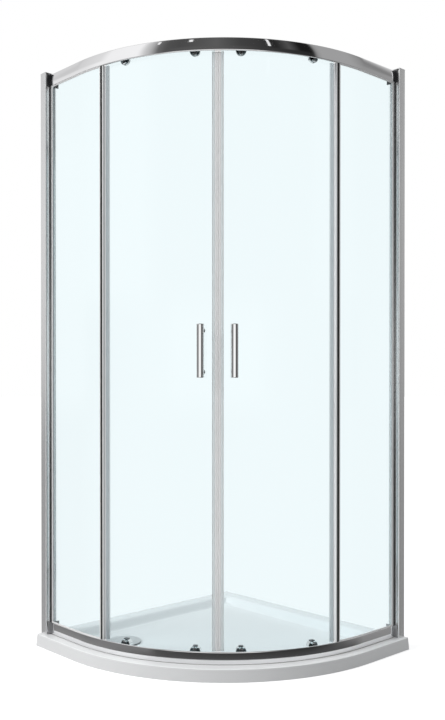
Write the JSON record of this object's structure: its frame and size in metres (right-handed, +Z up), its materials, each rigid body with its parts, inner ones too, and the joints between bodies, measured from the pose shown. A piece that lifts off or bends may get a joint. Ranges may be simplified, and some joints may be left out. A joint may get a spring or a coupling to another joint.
{
  "type": "corner shower enclosure",
  "caption": "Quadrant corner shower enclosure: low white tray, bright rails, fixed curved-end glass panes and curved glass doors that slide apart on rollers.",
  "frame": {"origin": "the middle of the tray's square footprint, on the floor", "axes": "+Z up; the room's walls stand at -X and +Y, so the curved front faces +X and -Y"},
  "size_m": [0.904, 0.904, 1.972],
  "materials": {
    "tray_white": "gloss white stone resin, smooth",
    "clear_glass": "clear toughened glass with a pale blue-green tint",
    "bright_rail": "bright polished aluminium, mirror-like",
    "bright_profile": "bright silver aluminium",
    "chrome_parts": "polished chrome",
    "screw_steel": "plain stainless steel",
    "spring_steel": "drawn spring wire",
    "black_caps": "matt black plastic",
    "clear_seal": "translucent soft seal",
    "soft_gasket": "pale grey glazing gasket",
    "drain_seal_rubber": "black rubber ring",
    "white_wheel": "white hard plastic",
    "grey_plastic": "grey plastic",
    "dark_slider": "dark grey plastic"
  },
  "bodies": {
    "enclosure": {"shower_tray": "tray_white", "waste_body": "grey_plastic", "waste_seal": "drain_seal_rubber", "wall_profile_right": "bright_profile", "wall_profile_left": "bright_profile", "frame_profile_right": "bright_profile", "frame_profile_left": "bright_profile", "fixed_glass_right": "clear_glass", "fixed_glass_left": "clear_glass", "post_right": "bright_rail", "post_left": "bright_rail", "top_rail": "bright_rail", "bottom_rail": "bright_rail", "frame_gaskets": "soft_gasket", "rail_gaskets": "soft_gasket", "post_strips": "clear_seal", "rail_end_caps": "black_caps", "frame_screws": "screw_steel", "screw_caps": "grey_plastic", "profile_caps": "black_caps", "door_stops": "black_caps"},
    "cover": {"drain_cover": "chrome_parts", "hair_basket": "grey_plastic"},
    "door_right": {"door_glass_right": "clear_glass", "magnet_seal_right": "clear_seal", "edge_seal_right": "clear_seal", "handle_right": "chrome_parts", "handle_screws_right": "screw_steel", "handle_gaskets_right": "soft_gasket", "top_brackets_right": "chrome_parts", "bottom_housings_right": "chrome_parts", "roller_fixings_right": "screw_steel", "glass_bushes_right": "soft_gasket"},
    "top_wheel_right_inner": {"top_wheel_right_inner": "white_wheel"},
    "bottom_wheel_right_inner": {"bottom_wheel_right_inner": "white_wheel"},
    "release_right_inner": {"release_slider_right_inner": "dark_slider", "release_spring_right_inner": "spring_steel"},
    "top_wheel_right_outer": {"top_wheel_right_outer": "white_wheel"},
    "bottom_wheel_right_outer": {"bottom_wheel_right_outer": "white_wheel"},
    "release_right_outer": {"release_slider_right_outer": "dark_slider", "release_spring_right_outer": "spring_steel"},
    "door_left": {"door_glass_left": "clear_glass", "magnet_seal_left": "clear_seal", "edge_seal_left": "clear_seal", "handle_left": "chrome_parts", "handle_screws_left": "screw_steel", "handle_gaskets_left": "soft_gasket", "top_brackets_left": "chrome_parts", "bottom_housings_left": "chrome_parts", "roller_fixings_left": "screw_steel", "glass_bushes_left": "soft_gasket"},
    "top_wheel_left_inner": {"top_wheel_left_inner": "white_wheel"},
    "bottom_wheel_left_inner": {"bottom_wheel_left_inner": "white_wheel"},
    "release_left_inner": {"release_slider_left_inner": "dark_slider", "release_spring_left_inner": "spring_steel"},
    "top_wheel_left_outer": {"top_wheel_left_outer": "white_wheel"},
    "bottom_wheel_left_outer": {"bottom_wheel_left_outer": "white_wheel"},
    "release_left_outer": {"release_slider_left_outer": "dark_slider", "release_spring_left_outer": "spring_steel"}
  },
  "joints": [
    {"name": "drain_cover_lift", "type": "slide", "parent": "enclosure", "child": "cover", "axis": [0, 0, 1], "range_m": [0, 0.3]},
    {"name": "door_right_slide", "type": "hinge", "parent": "enclosure", "child": "door_right", "pos_m": [-0.249, 0.249, 1], "axis": [0, 0, 1], "range_deg": [0, 21.5]},
    {"name": "top_wheel_right_inner_spin", "type": "hinge", "parent": "door_right", "child": "top_wheel_right_inner", "pos_m": [0.25491, -0.15362, 1.949], "axis": [0.7813, -0.6242, 0], "range_deg": [-1440, 1440]},
    {"name": "release_right_inner_press", "type": "slide", "parent": "door_right", "child": "release_right_inner", "axis": [0, 0, 1], "range_m": [-0.0025, 0], "stiffness_N_per_m": 800, "springref_m": 0.004, "deforming": ["release_spring_right_inner"]},
    {"name": "bottom_wheel_right_inner_spin", "type": "hinge", "parent": "release_right_inner", "child": "bottom_wheel_right_inner", "pos_m": [0.25491, -0.15362, 0.056], "axis": [0.7813, -0.6242, 0], "range_deg": [-1440, 1440]},
    {"name": "top_wheel_right_outer_spin", "type": "hinge", "parent": "door_right", "child": "top_wheel_right_outer", "pos_m": [0.36668, 0.05673, 1.949], "axis": [0.9545, -0.2981, 0], "range_deg": [-1440, 1440]},
    {"name": "release_right_outer_press", "type": "slide", "parent": "door_right", "child": "release_right_outer", "axis": [0, 0, 1], "range_m": [-0.0025, 0], "stiffness_N_per_m": 800, "springref_m": 0.004, "deforming": ["release_spring_right_outer"]},
    {"name": "bottom_wheel_right_outer_spin", "type": "hinge", "parent": "release_right_outer", "child": "bottom_wheel_right_outer", "pos_m": [0.36668, 0.05673, 0.056], "axis": [0.9545, -0.2981, 0], "range_deg": [-1440, 1440]},
    {"name": "door_left_slide", "type": "hinge", "parent": "enclosure", "child": "door_left", "pos_m": [-0.249, 0.249, 1], "axis": [0, 0, 1], "range_deg": [-21.5, 0]},
    {"name": "top_wheel_left_inner_spin", "type": "hinge", "parent": "door_left", "child": "top_wheel_left_inner", "pos_m": [0.15362, -0.25491, 1.949], "axis": [0.6242, -0.7813, 0], "range_deg": [-1440, 1440]},
    {"name": "release_left_inner_press", "type": "slide", "parent": "door_left", "child": "release_left_inner", "axis": [0, 0, 1], "range_m": [-0.0025, 0], "stiffness_N_per_m": 800, "springref_m": 0.004, "deforming": ["release_spring_left_inner"]},
    {"name": "bottom_wheel_left_inner_spin", "type": "hinge", "parent": "release_left_inner", "child": "bottom_wheel_left_inner", "pos_m": [0.15362, -0.25491, 0.056], "axis": [0.6242, -0.7813, 0], "range_deg": [-1440, 1440]},
    {"name": "top_wheel_left_outer_spin", "type": "hinge", "parent": "door_left", "child": "top_wheel_left_outer", "pos_m": [-0.05673, -0.36668, 1.949], "axis": [0.2981, -0.9545, 0], "range_deg": [-1440, 1440]},
    {"name": "release_left_outer_press", "type": "slide", "parent": "door_left", "child": "release_left_outer", "axis": [0, 0, 1], "range_m": [-0.0025, 0], "stiffness_N_per_m": 800, "springref_m": 0.004, "deforming": ["release_spring_left_outer"]},
    {"name": "bottom_wheel_left_outer_spin", "type": "hinge", "parent": "release_left_outer", "child": "bottom_wheel_left_outer", "pos_m": [-0.05673, -0.36668, 0.056], "axis": [0.2981, -0.9545, 0], "range_deg": [-1440, 1440]}
  ],
  "couplings": [
    {"joint": "top_wheel_right_inner_spin", "follows": "door_right_slide", "ratio": -66.495},
    {"joint": "bottom_wheel_right_inner_spin", "follows": "door_right_slide", "ratio": 66.495},
    {"joint": "top_wheel_right_outer_spin", "follows": "door_right_slide", "ratio": -66.495},
    {"joint": "bottom_wheel_right_outer_spin", "follows": "door_right_slide", "ratio": 66.495},
    {"joint": "top_wheel_left_inner_spin", "follows": "door_left_slide", "ratio": -66.495},
    {"joint": "bottom_wheel_left_inner_spin", "follows": "door_left_slide", "ratio": 66.495},
    {"joint": "top_wheel_left_outer_spin", "follows": "door_left_slide", "ratio": -66.495},
    {"joint": "bottom_wheel_left_outer_spin", "follows": "door_left_slide", "ratio": 66.495}
  ]
}
